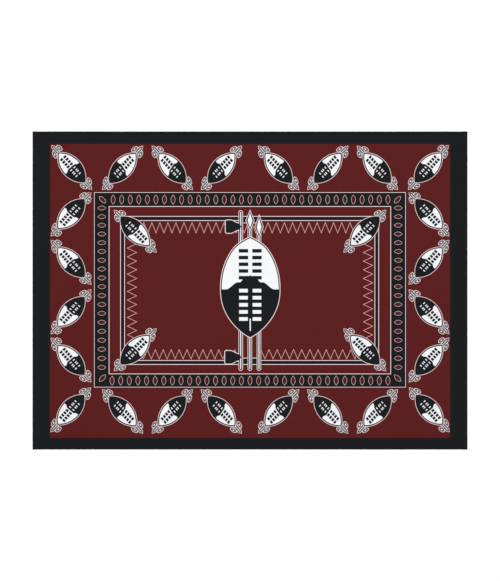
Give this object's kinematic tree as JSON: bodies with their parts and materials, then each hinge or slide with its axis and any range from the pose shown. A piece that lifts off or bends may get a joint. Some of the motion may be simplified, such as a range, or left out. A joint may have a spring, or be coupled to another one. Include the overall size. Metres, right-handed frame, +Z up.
{
  "type": "kanga cloth",
  "caption": "Flat rectangular printed cotton wrap cloth lying face up, with selvedges along its long edges and a narrow sewn hem at each short end; worn, hung or spread.",
  "frame": {"origin": "under the middle of the cloth, on the surface that it lies on", "axes": "+X along the cloth's length, +Y across the loom's width towards the print's top, +Z up out of the printed face"},
  "size_m": [1.504, 1.1, 0.0022],
  "materials": {
    "printed_cotton": "matt plain-weave cotton, printed in black and white on a dark red ground"
  },
  "bodies": {
    "root": {"kanga_cloth": "printed_cotton"}
  },
  "joints": []
}
